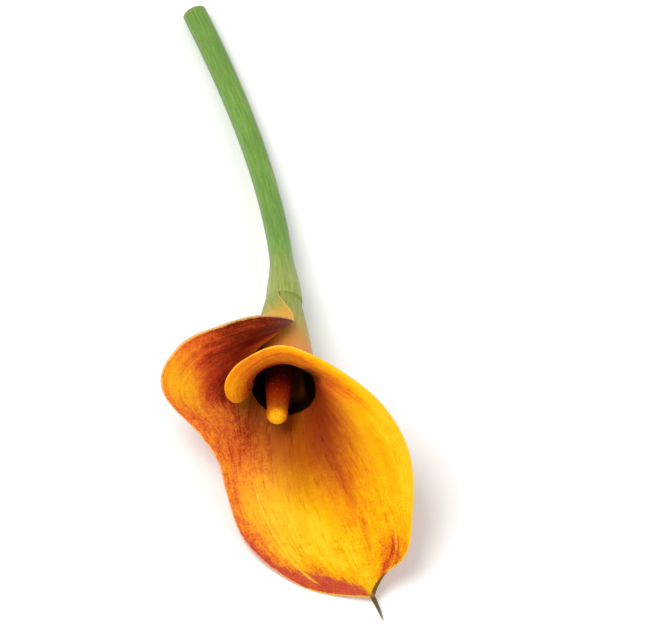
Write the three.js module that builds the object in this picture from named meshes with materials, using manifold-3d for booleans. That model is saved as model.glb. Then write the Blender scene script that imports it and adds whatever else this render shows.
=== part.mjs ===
// A cut arum lily flower of the small orange and yellow kind, laid down on its back.
// Millimetres, +Z up. It lies on the plane z = 0, its stem points to +Y and its tip to -Y.
// It is three pieces, as it grew: the spathe (one rolled leaf), the spadix inside it, and the stem.
import * as THREE from "three";
import { mergeVertices } from "three/addons/utils/BufferGeometryUtils.js";
import Module from "manifold-3d";

const wasm = await Module();
wasm.setup();

// ---------------------------------------------------------------- driving dimensions
// The bloom is shaped upright in a frame of its own: its axis is z, and z = 0 is the throat.
// A turn is an angle round that axis, in degrees: 0 at the tip, and growing over the right side
// to the front, where the leaf's two sides overlap.
const CLEARANCE = 0.3; // between touching pieces

const FOOT_DEPTH = 42; // from the throat down to the foot of the spathe
const FOOT_RADIUS = 5.9;
const THROAT_RADIUS = 12;
const TUBE_SWELL = 0.55; // this share of the tube's widening comes early, as a swelling over the foot
const WRAP_PITCH = 2.4; // the wall moves this far inwards in one turn of the wrap, at the throat
const FOOT_PITCH_SHARE = 0.6; // and this share of it at the foot
const FOOT_WRAP_SHARE = 0.84; // the wrap covers this share of its turns at the foot
const SPATHE_THICKNESS = 0.8;

// The spathe's margin. Each row is one rib of the leaf: its turn, how far its end reaches from the
// axis, the height of its end over the throat, the angle from the axis at which it arrives there
// (past 90 it curls down), and the height at which it leaves the tube. Turns past 180 overlap.
const MARGIN = [
  [-235, 11.0, -21.5, 32, -25],
  [-218, 21.0, -13.5, 95, -21.5],
  [-200, 28.5, -8.0, 118, -18],
  [-175, 34.2, -4.2, 126, -15],
  [-152, 41.2, -1.0, 124, -12],
  [-130, 42.4, 5.5, 112, -9],
  [-112, 30.6, 16.0, 84, -6],
  [-95, 26.4, 24.0, 60, -3],
  [-75, 30.4, 31.0, 52, -1],
  [-57, 37.2, 41.0, 54, 0],
  [-38, 41.9, 50.0, 57, 0],
  [-19, 48.0, 55.8, 66, 0],
  [0, 51.2, 57.3, 71, 0],
  [9, 51.0, 54.7, 72, 0],
  [18, 52.8, 52.2, 73, 0],
  [33, 48.8, 43.0, 76, 0],
  [55, 43.6, 30.0, 88, -0.5],
  [74, 36.9, 20.5, 97, -3],
  [95, 29.2, 12.5, 106, -6.5],
  [118, 24.3, 6.0, 124, -7.5],
  [144, 22.0, 1.5, 158, -5],
  [178, 20.6, 2.0, 166, -3.5],
  [205, 21.6, 4.2, 160, -3.5],
  [219, 22.1, 6.9, 150, -3.5],
  [235, 21.0, 8.4, 140, -3.5],
];
const LAST_TURN = 235; // the wrap runs from minus this turn to plus this turn
const LIP_TURN = 208; // from here the collar's end is rounded off
const LIP_REST = 0.12; // share of the rib that is left at the very end of the lip
const NECK_SHARE = 0.3; // share of a rib's rows that lies in the tube

// The pointed tip stands out of the margin and ends in a small claw.
const TIP_REACH = 4.4;
const TIP_RISE = 1.4;
const TIP_HALF_ANGLE = 4.8; // degrees over which the point fades into the margin
const TIP_FADE = 6; // power by which it fades down the leaf
const CLAW_LENGTH = 8.5;
const CLAW_ROOT = 5; // more of its length is sunk in the leaf
const CLAW_RADIUS = 1.2; // where it leaves the leaf
const CLAW_END_RADIUS = 0.45;
const CLAW_CURL = 42; // degrees by which it bends up towards the axis

const SPADIX_LENGTH = 56.5;
// Its radius at shares of its length: thickest over the lower florets, thinner from the throat up.
const SPADIX_PROFILE = [
  [0, 4.1],
  [0.35, 4.8],
  [0.62, 5.0],
  [0.73, 4.6],
  [0.82, 3.95],
  [1, 3.5],
];
const SPADIX_END_RADIUS = 3.5;
const SPADIX_LEAN = 2.5; // degrees, towards the tip side
const SPADIX_SIDE_LEAN = 2.2; // degrees, to the left
const FLORETS_ROUND = 8; // florets in one ring, set between those of the next ring
const FLORET_RINGS = 19;
const FLORET_HEIGHT = 0.35;

const STEM_SPAN = 142; // straight distance from the foot of the bloom to the cut
const STEM_SWING = -34; // how far the cut end lies to one side
const STEM_TOP_RADIUS = 6.6;
const STEM_RADIUS = 4.3;
const STEM_CUT_RADIUS = 4.6;
const STEM_FLARE_SHARE = 0.16; // share of the stem that narrows under the bloom
const STEM_TAPER_FROM = 0.3; // from this share of its length it thickens again towards the cut
const STEM_NECK = 40; // how firmly the stem keeps the bloom's own direction
const STEM_TAIL = 55; // and the direction of its cut end
const STEM_TAIL_ANGLE = 24; // degrees between that direction and +Y

// How the flower lies. It rests on the cut end, the lowest part of the margin and the claw.
const NOD = 13.7; // degrees of the bloom's axis over the plane
const ROLL = -4.6; // degrees, the left side down
const SPIN = 35; // degrees, turns the tip to the right
const THROAT_AT = [-1.15, -52.7, 30.9];

// Steps of the meshes.
const SPATHE_COLUMNS = 72;
const SPATHE_ROWS = 20;
const COLUMN_CROWDING = 0.35; // the columns stand this much closer at the tip and at both free edges
const CLAW_SIDES = 8;
const CLAW_RINGS = 8;
const SPADIX_SIDES = 32;
const SPADIX_ROWS_PER_RING = 3;
const STEM_SIDES = 16;
const STEM_RINGS = 36;

// ---------------------------------------------------------------- helpers
const rad = THREE.MathUtils.degToRad;
const mix = THREE.MathUtils.lerp;
const smooth = THREE.MathUtils.smoothstep;

/** Slope of a column of a table at a row: that of the parabola through the row and its neighbours. */
function slopeAt(rows, row, column) {
  const rise = (i) => (rows[i + 1][column] - rows[i][column]) / (rows[i + 1][0] - rows[i][0]);
  if (row === 0) {
    return rise(0);
  }
  if (row === rows.length - 1) {
    return rise(row - 1);
  }
  const share = (rows[row + 1][0] - rows[row][0]) / (rows[row + 1][0] - rows[row - 1][0]);
  return mix(rise(row), rise(row - 1), share);
}

/** The columns of a table at x, on smooth curves through its rows. A row's first value is its x. */
function tableAt(rows, x) {
  const after = Math.max(1, rows.findIndex((row, i) => x <= row[0] || i === rows.length - 1));
  const before = after - 1;
  const step = rows[after][0] - rows[before][0];
  const t = THREE.MathUtils.clamp((x - rows[before][0]) / step, 0, 1);
  const rise = t * t * (3 - 2 * t);
  const valueAt = (column) =>
    mix(rows[before][column], rows[after][column], rise) +
    slopeAt(rows, before, column) * step * t * (1 - t) * (1 - t) -
    slopeAt(rows, after, column) * step * t * t * (1 - t);
  return rows[before].slice(1).map((_, i) => valueAt(i + 1));
}

/** A geometry from a list of corner points and a list of triangles. */
function geometryOf(points, triangles) {
  const geometry = new THREE.BufferGeometry();
  const numbers = points.flatMap((p) => [p.x, p.y, p.z]);
  geometry.setAttribute("position", new THREE.Float32BufferAttribute(numbers, 3));
  geometry.setIndex(triangles.flat());
  geometry.computeVertexNormals();
  return geometry;
}

/** A ring of points round a place on a path, square to the path there. shape scales it by the angle. */
function ringAt(centre, direction, radius, sides, shape = () => 1) {
  const across = new THREE.Vector3(1, 0, 0).cross(direction).normalize();
  const side = direction.clone().cross(across).normalize();
  const ring = [];
  for (let s = 0; s < sides; s += 1) {
    const angle = (2 * Math.PI * s) / sides;
    const reach = radius * shape(angle);
    const point = centre.clone().addScaledVector(across, reach * Math.cos(angle));
    ring.push(point.addScaledVector(side, reach * Math.sin(angle)));
  }
  return ring;
}

/** A closed solid through rings of points, each end closed to a point in the middle of its ring. */
function ringSolid(rings) {
  const sides = rings[0].length;
  const middleOf = (ring) => ring.reduce((sum, p) => sum.addScaledVector(p, 1 / sides), new THREE.Vector3());
  const points = [...rings.flat(), middleOf(rings[0]), middleOf(rings.at(-1))];
  const startMiddle = points.length - 2;
  const endMiddle = points.length - 1;
  const lastRing = (rings.length - 1) * sides;
  const triangles = [];
  for (let s = 0; s < sides; s += 1) {
    const next = (s + 1) % sides;
    triangles.push([startMiddle, next, s]);
    for (let start = 0; start < lastRing; start += sides) {
      triangles.push([start + s, start + next, start + sides + s]);
      triangles.push([start + next, start + sides + next, start + sides + s]);
    }
    triangles.push([lastRing + s, lastRing + next, endMiddle]);
  }
  return geometryOf(points, triangles);
}

/** A solid of the joining library from a geometry. */
function solidOf(geometry) {
  const bare = geometry.clone();
  bare.deleteAttribute("normal");
  const merged = mergeVertices(bare, 1e-4);
  const mesh = new wasm.Mesh({
    numProp: 3,
    vertProperties: new Float32Array(merged.attributes.position.array),
    triVerts: new Uint32Array(merged.index.array),
  });
  return new wasm.Manifold(mesh);
}

/** Two geometries that cross, joined into one closed body. */
function joined(first, second) {
  const mesh = solidOf(first).add(solidOf(second)).getMesh();
  const geometry = new THREE.BufferGeometry();
  geometry.setAttribute("position", new THREE.BufferAttribute(mesh.vertProperties, 3));
  geometry.setIndex(new THREE.BufferAttribute(mesh.triVerts, 1));
  geometry.computeVertexNormals();
  return geometry;
}

function meshOf(name, geometry, color, roughness) {
  const material = new THREE.MeshStandardMaterial({ color, roughness, metalness: 0 });
  const mesh = new THREE.Mesh(geometry, material);
  mesh.name = name;
  return mesh;
}

// ---------------------------------------------------------------- the spathe
/** Radius of the tube's wall at a height up to the throat, for an angle round the axis. */
function tubeRadius(height, angle) {
  const f = THREE.MathUtils.clamp((height + FOOT_DEPTH) / FOOT_DEPTH, 0, 1);
  const widening = mix(f, Math.sin((f * Math.PI) / 2), TUBE_SWELL);
  const pitch = WRAP_PITCH * mix(FOOT_PITCH_SHARE, 1, f);
  return mix(FOOT_RADIUS, THROAT_RADIUS, widening) - (pitch * angle) / 360;
}

/** A point of a rib over the tube: a cubic curve in the plane of radius and height. */
function limbPoint(turn, [reach, height, flare, neck], t) {
  const below = 0.5;
  const start = new THREE.Vector2(tubeRadius(neck, turn), neck);
  const end = new THREE.Vector2(reach, height);
  const leave = Math.atan2(start.x - tubeRadius(neck - below, turn), below);
  const arrive = rad(flare);
  const handle = start.distanceTo(end) / (3 * Math.cos((arrive - leave) / 4) ** 2);
  const towards = (angle) => new THREE.Vector2(Math.sin(angle), Math.cos(angle));
  const startHandle = start.clone().addScaledVector(towards(leave), handle);
  const endHandle = end.clone().addScaledVector(towards(arrive), -handle);
  return new THREE.CubicBezierCurve(start, startHandle, endHandle, end).getPoint(t);
}

/** A point of the leaf's middle surface. v is 0 at the foot and 1 at the margin. */
function leafPoint(turn, v) {
  const rib = tableAt(MARGIN, turn);
  const neck = rib[3];
  const inTube = Math.min(v / NECK_SHARE, 1);
  const angle = turn * mix(FOOT_WRAP_SHARE, 1, smooth(inTube, 0, 1));
  const place = new THREE.Vector2(0, mix(-FOOT_DEPTH, neck, inTube));
  place.x = tubeRadius(place.y, angle);
  if (v > NECK_SHARE) {
    const t = (v - NECK_SHARE) / (1 - NECK_SHARE);
    const tip = Math.exp(-Math.abs(turn) / TIP_HALF_ANGLE) * t ** TIP_FADE;
    place.copy(limbPoint(turn, rib, t));
    place.x += TIP_REACH * tip;
    place.y += TIP_RISE * tip;
  }
  return new THREE.Vector3(place.x * Math.sin(rad(angle)), -place.x * Math.cos(rad(angle)), place.y);
}

/** The direction square to the leaf's surface, away from the axis in the tube. */
function leafNormal(turn, v) {
  const turnStep = 0.5;
  const vStep = 0.004;
  const along = leafPoint(turn, Math.min(v + vStep, 1)).sub(leafPoint(turn, Math.max(v - vStep, 0)));
  const ahead = leafPoint(Math.min(turn + turnStep, LAST_TURN), v);
  const round = ahead.sub(leafPoint(Math.max(turn - turnStep, -LAST_TURN), v));
  return round.cross(along).normalize();
}

/** Where a row lies on its rib: the ribs of the collar's lip are shortened to a round end. */
function roundedShare(turn, v) {
  if (turn < LIP_TURN || v < NECK_SHARE) {
    return v;
  }
  const past = (turn - LIP_TURN) / (LAST_TURN - LIP_TURN);
  const left = mix(LIP_REST, 1, Math.sqrt(Math.max(0, 1 - past * past)));
  return NECK_SHARE + (v - NECK_SHARE) * left;
}

/** The turns of the mesh's columns, from one free edge to the other. */
function columnTurns() {
  const turns = [];
  for (let c = 0; c <= SPATHE_COLUMNS; c += 1) {
    const share = (2 * c) / SPATHE_COLUMNS - 1;
    const crowd = (COLUMN_CROWDING * Math.sin(2 * Math.PI * share)) / (2 * Math.PI);
    turns.push(LAST_TURN * (share - crowd));
  }
  return turns;
}

/** The rolled leaf: two alike faces, half a thickness off its middle surface, closed round the edge. */
function leafSheet() {
  const points = [];
  for (const turn of columnTurns()) {
    for (let r = 0; r <= SPATHE_ROWS; r += 1) {
      const v = roundedShare(turn, r / SPATHE_ROWS);
      const middle = leafPoint(turn, v);
      const square = leafNormal(turn, v).multiplyScalar(SPATHE_THICKNESS / 2);
      points.push(middle.clone().add(square), middle.clone().sub(square));
    }
  }
  const outer = 0;
  const inner = 1;
  const at = (c, r, face) => 2 * (c * (SPATHE_ROWS + 1) + r) + face;
  const triangles = [];
  const quad = (a, b, c, d) => triangles.push([a, b, c], [a, c, d]);
  for (let c = 0; c < SPATHE_COLUMNS; c += 1) {
    for (let r = 0; r < SPATHE_ROWS; r += 1) {
      quad(at(c, r, outer), at(c + 1, r, outer), at(c + 1, r + 1, outer), at(c, r + 1, outer));
      triangles.push([at(c, r, inner), at(c + 1, r + 1, inner), at(c + 1, r, inner)]);
      triangles.push([at(c, r, inner), at(c, r + 1, inner), at(c + 1, r + 1, inner)]);
    }
    const top = SPATHE_ROWS;
    quad(at(c, 0, inner), at(c + 1, 0, inner), at(c + 1, 0, outer), at(c, 0, outer));
    quad(at(c, top, outer), at(c + 1, top, outer), at(c + 1, top, inner), at(c, top, inner));
  }
  for (let r = 0; r < SPATHE_ROWS; r += 1) {
    const last = SPATHE_COLUMNS;
    quad(at(0, r, outer), at(0, r + 1, outer), at(0, r + 1, inner), at(0, r, inner));
    quad(at(last, r, inner), at(last, r + 1, inner), at(last, r + 1, outer), at(last, r, outer));
  }
  return geometryOf(points, triangles);
}

/** The claw at the tip: it swells out of the leaf, then thins and bends up towards the axis. */
function clawSolid() {
  const [reach, height, flare] = tableAt(MARGIN, 0);
  const length = CLAW_ROOT + CLAW_LENGTH;
  const leafShare = CLAW_ROOT / length;
  let outward = reach + TIP_REACH - CLAW_ROOT * Math.sin(rad(flare));
  let up = height + TIP_RISE - CLAW_ROOT * Math.cos(rad(flare));
  const rings = [];
  for (let r = 0; r <= CLAW_RINGS; r += 1) {
    const f = r / CLAW_RINGS;
    const thin = f < leafShare ? 1 - f / leafShare : (f - leafShare) / (1 - leafShare);
    const angle = rad(flare - CLAW_CURL * f);
    const direction = new THREE.Vector3(0, -Math.sin(angle), Math.cos(angle));
    const radius = mix(CLAW_RADIUS, CLAW_END_RADIUS, thin);
    rings.push(ringAt(new THREE.Vector3(0, -outward, up), direction, radius, CLAW_SIDES));
    outward += (length / CLAW_RINGS) * Math.sin(angle);
    up += (length / CLAW_RINGS) * Math.cos(angle);
  }
  return ringSolid(rings);
}

// ---------------------------------------------------------------- the spadix
/** The spadix: a rod with a round end, raised into florets that stand in rings. */
function spadixSolid() {
  const axis = new THREE.Vector3(0, 0, 1);
  const rows = FLORET_RINGS * SPADIX_ROWS_PER_RING;
  const roundShare = SPADIX_END_RADIUS / SPADIX_LENGTH;
  const rings = [];
  for (let r = 0; r < rows; r += 1) {
    const f = r / (rows - 1);
    const past = Math.max(0, (f - 1 + roundShare) / roundShare);
    const [side] = tableAt(SPADIX_PROFILE, f);
    const radius = side * Math.sqrt(1 - 0.98 * past * past);
    const phase = (Math.PI / 2) * f * FLORET_RINGS;
    const florets = (angle) => {
      const wave = (FLORETS_ROUND / 2) * angle;
      const bump = Math.abs(Math.cos(wave + phase) * Math.cos(wave - phase));
      return 1 + (FLORET_HEIGHT / side) * (bump - 0.5);
    };
    rings.push(ringAt(new THREE.Vector3(0, 0, f * SPADIX_LENGTH), axis, radius, SPADIX_SIDES, florets));
  }
  return ringSolid(rings);
}

// ---------------------------------------------------------------- the stem
/** The stem: from under the bloom down to the plane and along it to the cut, thickest at the bloom. */
function stemSolid(foot, direction) {
  const tailAngle = rad(STEM_TAIL_ANGLE);
  const tail = new THREE.Vector3(-Math.sin(tailAngle), Math.cos(tailAngle), 0);
  const reach = Math.sqrt(STEM_SPAN ** 2 - STEM_SWING ** 2);
  const cut = new THREE.Vector3(foot.x + STEM_SWING, foot.y + reach, STEM_CUT_RADIUS);
  const neckHandle = foot.clone().addScaledVector(direction, STEM_NECK);
  const tailHandle = cut.clone().addScaledVector(tail, -STEM_TAIL);
  const path = new THREE.CubicBezierCurve3(foot, neckHandle, tailHandle, cut);
  const rings = [];
  for (let r = 0; r <= STEM_RINGS; r += 1) {
    const f = r / STEM_RINGS;
    const rod = mix(STEM_RADIUS, STEM_CUT_RADIUS, smooth(f, STEM_TAPER_FROM, 1));
    const radius = mix(STEM_TOP_RADIUS, rod, smooth(f, 0, STEM_FLARE_SHARE));
    rings.push(ringAt(path.getPointAt(f), path.getTangentAt(f), radius, STEM_SIDES));
  }
  return ringSolid(rings);
}

// ---------------------------------------------------------------- the flower
const flower = new THREE.Group();

const bloom = new THREE.Group();
bloom.position.set(...THROAT_AT);
bloom.rotation.set(rad(90 - NOD), rad(ROLL), rad(SPIN), "YXZ");
flower.add(bloom);

bloom.add(meshOf("spathe", joined(leafSheet(), clawSolid()), "#f0a21c", 0.45));

const spadix = meshOf("spadix", spadixSolid(), "#f3b322", 0.8);
spadix.position.z = -FOOT_DEPTH + CLEARANCE;
spadix.rotation.set(rad(SPADIX_LEAN), rad(-SPADIX_SIDE_LEAN), rad(-SPIN), "ZXY");
bloom.add(spadix);

bloom.updateWorldMatrix(true, true);
const foot = bloom.localToWorld(new THREE.Vector3(0, 0, -FOOT_DEPTH - CLEARANCE));
const down = new THREE.Vector3(0, 0, -1).transformDirection(bloom.matrixWorld);
flower.add(meshOf("stem", stemSolid(foot, down), "#6f9a3d", 0.5));

export default flower;
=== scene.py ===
"""A cut arum lily flower lying on its back on a pale table, seen down into its mouth.

Lengths in the tables are millimetres and are turned to metres where they are used, angles are
degrees, and +Z is up. The bloom is shaped upright in a frame of its own, in which its axis is z and
z = 0 is the throat, and is then laid down. A turn is an angle round that axis: 0 at the tip, and
growing over the right side to where the leaf's two sides overlap. A place on the leaf is a turn and
v, its share of the way up from the foot to the margin.
"""

import functools
import math
import random

import bmesh
import bpy
from mathutils import Matrix, Vector, noise


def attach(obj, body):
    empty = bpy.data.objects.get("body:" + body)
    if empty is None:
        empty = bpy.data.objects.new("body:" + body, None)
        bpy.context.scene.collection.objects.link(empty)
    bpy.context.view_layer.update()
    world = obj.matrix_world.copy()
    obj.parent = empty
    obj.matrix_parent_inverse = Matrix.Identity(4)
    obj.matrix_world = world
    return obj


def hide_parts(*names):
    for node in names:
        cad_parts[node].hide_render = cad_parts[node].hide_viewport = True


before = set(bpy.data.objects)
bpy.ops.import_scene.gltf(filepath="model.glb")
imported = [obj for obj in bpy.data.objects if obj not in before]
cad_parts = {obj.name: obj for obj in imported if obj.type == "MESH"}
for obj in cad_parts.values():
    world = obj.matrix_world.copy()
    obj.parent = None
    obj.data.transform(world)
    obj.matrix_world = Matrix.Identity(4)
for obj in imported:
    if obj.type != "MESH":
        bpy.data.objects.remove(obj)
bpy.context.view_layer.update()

MM = 0.001

# ---------------------------------------------------------------- sizes
FOOT_DEPTH = 42  # from the throat down to the foot
FOOT_RADIUS = 5.9
THROAT_RADIUS = 12
TUBE_SWELL = 0.55  # 0 widens the tube evenly, 1 along a quarter wave
WRAP_PITCH = 2.4  # how far the rolled leaf draws inwards in a whole turn at the throat
FOOT_PITCH_SHARE = 0.6
FOOT_WRAP_SHARE = 0.84  # how far round the leaf goes at the foot, against the throat

# The spathe's margin: turn, reach from the axis, height over the throat, angle at which the rib
# arrives there, and the height at which the rib leaves the tube.
MARGIN = [
    (-235, 11.0, -21.5, 32, -25),
    (-218, 21.0, -13.5, 95, -21.5),
    (-200, 28.5, -8.0, 118, -18),
    (-175, 34.2, -4.2, 126, -15),
    (-152, 41.2, -1.0, 124, -12),
    (-130, 42.4, 5.5, 112, -9),
    (-112, 30.6, 16.0, 84, -6),
    (-95, 26.4, 24.0, 60, -3),
    (-75, 30.4, 31.0, 52, -1),
    (-57, 37.2, 41.0, 54, 0),
    (-38, 41.9, 50.0, 57, 0),
    (-19, 48.0, 55.8, 66, 0),
    (0, 51.2, 57.3, 71, 0),
    (9, 51.0, 54.7, 72, 0),
    (18, 52.8, 52.2, 73, 0),
    (33, 48.8, 43.0, 76, 0),
    (55, 43.6, 30.0, 88, -0.5),
    (74, 36.9, 20.5, 97, -3),
    (95, 29.2, 12.5, 106, -6.5),
    (118, 24.3, 6.0, 124, -7.5),
    (144, 22.0, 1.5, 158, -5),
    (178, 20.6, 2.0, 166, -3.5),
    (205, 21.6, 4.2, 160, -3.5),
    (219, 22.1, 6.9, 150, -3.5),
    (235, 21.0, 8.4, 140, -3.5),
]
LAST_TURN = 235  # how far round the leaf goes on either side
LIP_TURN = 208  # from here on the collar's ribs shorten to a round lip
LIP_REST = 0.12  # what is left of the last rib
NECK_SHARE = 0.3  # the v at which the ribs leave the tube

# The leaf's tip draws out: how far, how high, over what turn, and how late on its ribs.
TIP_REACH = 4.4
TIP_RISE = 1.4
TIP_HALF_ANGLE = 4.8
TIP_FADE = 6

CLAW_LENGTH = 8.5
CLAW_ROOT = 5  # the claw's length inside the leaf
CLAW_RADIUS = 0.95
CLAW_END_RADIUS = 0.3
CLAW_CURL = 42
CLAW_SWELL = 0.8  # the powers by which the claw swells and thins, and rounds off at its end
CLAW_POINT = 8
CLAW_ROOT_FLAT = 0.45  # its width against its height in the leaf, and out of it
CLAW_FLAT = 0.85
GROOVE_DEPTH = 0.28
GROOVE_HALF_WIDTH = 0.25

SPADIX_LENGTH = 56.5
SPADIX_PROFILE = [(0, 4.1), (0.35, 4.8), (0.62, 5.0), (0.73, 4.6), (0.82, 3.95), (1, 3.5)]
SPADIX_END_RADIUS = 3.5
SPADIX_LEAN = 2.5
SPADIX_SIDE_LEAN = 2.2
SPADIX_CLEARANCE = 0.3  # between the spadix and the foot
FLORETS_ROUND = 26
FLORET_RINGS = 60
FLORET_HEIGHT = 0.26
FLORET_SPREAD = 0.62  # a floret's radius, against the space between two of them
FLORET_SIZES = (0.82, 1.1)
FLORET_JITTER = 0.14

STEM_SPAN = 142  # from the foot to the cut, seen from above
STEM_SWING = -34  # how far of that to the right
STEM_TOP_RADIUS = 6.6
STEM_RADIUS = 4.3
STEM_CUT_RADIUS = 4.6
STEM_FLARE_SHARE = 0.16
STEM_TAPER_FROM = 0.3
STEM_NECK = 40  # how far its curve's handles reach, at the bloom and at the cut
STEM_TAIL = 55
STEM_TAIL_ANGLE = 24
STEM_RIDGES = 13
RIDGE_HEIGHT = 0.05
RIDGE_TWIST = 2  # radians of the ridges' own wave, over the stem's length
CUT_DISH = 0.7

# How the bloom lies: its axis over the table, its roll, its spin round its axis, and its throat.
NOD = 13.7
ROLL = -4.6
SPIN = 35
THROAT_AT = Vector((-1.15, -52.7, 30.9))

# How finely the pieces are made.
SPATHE_COLUMNS = 320
SPATHE_ROWS = 136
COLUMN_CROWDING = 0.4
ROW_CROWDING = 0.4
CLAW_SIDES = 40
CLAW_ROWS = 72
SPADIX_SIDES = 192
SPADIX_ROWS = 300
STEM_SIDES = 104
STEM_ROWS = 280
CUT_ROWS = 14


# ---------------------------------------------------------------- helpers
def mix(a, b, t):
    return a + (b - a) * t


def smooth(x, low, high):
    """0 before low, 1 past high, and a soft step between them; low may be the larger."""
    t = min(max((x - low) / (high - low or 1), 0), 1)
    return t * t * (3 - 2 * t)


def between(x, start, full, fading, gone):
    """A soft step up from start to full, and a soft step down from fading to gone."""
    return smooth(x, start, full) * smooth(x, gone, fading)


def hill(x, centre, half_width):
    """1 at the centre, fading on both sides."""
    return math.exp(-(((x - centre) / half_width) ** 2))


def slope_at(rows, row, column):
    """Slope of a column of a table at a row: that of the parabola through it and its neighbours."""

    def rise(i):
        return (rows[i + 1][column] - rows[i][column]) / (rows[i + 1][0] - rows[i][0])

    if row == 0:
        return rise(0)
    if row == len(rows) - 1:
        return rise(row - 1)
    share = (rows[row + 1][0] - rows[row][0]) / (rows[row + 1][0] - rows[row - 1][0])
    return mix(rise(row), rise(row - 1), share)


def table_at(rows, x):
    """The columns of a table at x, on smooth curves through its rows. A row's first value is its x."""
    after = 1
    while after < len(rows) - 1 and x > rows[after][0]:
        after += 1
    before = after - 1
    step = rows[after][0] - rows[before][0]
    t = min(max((x - rows[before][0]) / step, 0), 1)
    rise = t * t * (3 - 2 * t)
    return [
        mix(rows[before][c], rows[after][c], rise)
        + slope_at(rows, before, c) * step * t * (1 - t) ** 2
        - slope_at(rows, after, c) * step * t * t * (1 - t)
        for c in range(1, len(rows[0]))
    ]


def bezier(points, t):
    """A point of a cubic curve from its four control points."""
    s = 1 - t
    near = points[0] * s**3 + points[1] * (3 * s * s * t)
    return near + points[2] * (3 * s * t * t) + points[3] * t**3


def turned(axis, angle):
    """A turn of some degrees round an axis."""
    return Matrix.Rotation(math.radians(angle), 3, axis)


LAID = turned("Y", ROLL) @ turned("X", 90 - NOD)
SPUN = turned("Z", SPIN)


def laid_down(point):
    """A place in the bloom's upright frame to its place on the table, in metres."""
    return (LAID @ point + THROAT_AT) * MM


# ---------------------------------------------------------------- the spathe's surface
def tube_radius(height, angle):
    """Radius of the tube at a height and an angle round the axis."""
    f = min(max((height + FOOT_DEPTH) / FOOT_DEPTH, 0), 1)
    widening = mix(f, math.sin(f * math.pi / 2), TUBE_SWELL)
    pitch = WRAP_PITCH * mix(FOOT_PITCH_SHARE, 1, f)
    return mix(FOOT_RADIUS, THROAT_RADIUS, widening) - pitch * angle / 360


def limb_point(turn, rib, t):
    """A point of a rib over the tube, in the plane of radius and height."""
    reach, height, flare, neck = rib
    below = 0.5
    start = Vector((tube_radius(neck, turn), neck))
    end = Vector((reach, height))
    leave = math.atan2(start.x - tube_radius(neck - below, turn), below)
    arrive = math.radians(flare)
    handle = (end - start).length / (3 * math.cos((arrive - leave) / 4) ** 2)
    leaving = Vector((math.sin(leave), math.cos(leave))) * handle
    arriving = Vector((math.sin(arrive), math.cos(arrive))) * handle
    return bezier((start, start + leaving, end - arriving, end), t)


def limb_share(v):
    """How far a place lies up the limb: 0 in the tube, 1 at the margin."""
    return max(0, (v - NECK_SHARE) / (1 - NECK_SHARE))


def rounded_share(turn, v):
    """Where a row lies on its rib: the ribs of the collar's lip are shortened to a round end."""
    if turn < LIP_TURN or v < NECK_SHARE:
        return v
    past = (turn - LIP_TURN) / (LAST_TURN - LIP_TURN)
    left = mix(LIP_REST, 1, math.sqrt(max(0, 1 - past * past)))
    return NECK_SHARE + (v - NECK_SHARE) * left


@functools.cache
def rib_at(turn):
    """Reach, height, flare and neck of the rib at a turn."""
    return table_at(MARGIN, turn)


def leaf_point(turn, v):
    """A point of the leaf's middle surface."""
    rib = rib_at(turn)
    in_tube = min(v / NECK_SHARE, 1)
    angle = math.radians(turn * mix(FOOT_WRAP_SHARE, 1, smooth(in_tube, 0, 1)))
    height = mix(-FOOT_DEPTH, rib[3], in_tube)
    radius = tube_radius(height, math.degrees(angle))
    if v > NECK_SHARE:
        t = limb_share(v)
        tip = math.exp(-abs(turn) / TIP_HALF_ANGLE) * t**TIP_FADE
        radius, height = limb_point(turn, rib, t)
        radius += TIP_REACH * tip
        height += TIP_RISE * tip
    return Vector((radius * math.sin(angle), -radius * math.cos(angle), height))


def leaf_normal(turn, v):
    """The direction square to the leaf's surface, away from the axis in the tube."""
    turn_step = 0.5
    v_step = 0.004
    along = leaf_point(turn, min(v + v_step, 1)) - leaf_point(turn, max(v - v_step, 0))
    ahead = leaf_point(min(turn + turn_step, LAST_TURN), v)
    around = ahead - leaf_point(max(turn - turn_step, -LAST_TURN), v)
    return around.cross(along).normalized()


# ---------------------------------------------------------------- veins and relief
VEIN_BEND = 0.88  # how much of its turn a vein loses on its way to the margin
VEIN_SPREAD = 150  # in degrees; a smaller one crowds the numbers of the far veins
VEIN_SLANT = 0.6  # a distance square to a vein, against the same distance round the axis
VALLEY_VEIN = 25  # the vein along which the right side dips

# The turns at the throat of the veins that carry the pale fold and the crease at the tip.
FOLD_START = -92
CREASE_START = 86
FOLD_HALF_WIDTH = 0.9

# How far the small forms stand off the smooth leaf, inwards.
MIDRIB_HEIGHT = -0.25
FOLD_HEIGHT = 0.35
CREASE_HEIGHT = 0.3
VALLEY_HEIGHT = -0.5
PLEAT_HEIGHT = 0.22
WAVE_HEIGHT = 0.5


def vein_narrowing(v):
    """How much nearer to the middle a vein lies here than at the throat: all of them run to the tip."""
    return 1 - VEIN_BEND * limb_share(v) ** 2


def vein_at(turn, v):
    """Which vein passes a place, on a scale that keeps them about evenly spaced on the whole limb."""
    start = turn / vein_narrowing(v)
    return start / (1 + abs(start) / VEIN_SPREAD)


def beside_vein(start, turn, v):
    """About how many millimetres a place lies from the vein that leaves the throat at a turn."""
    return VEIN_SLANT * math.radians(turn - start * vein_narrowing(v)) * rib_at(turn)[0]


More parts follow.
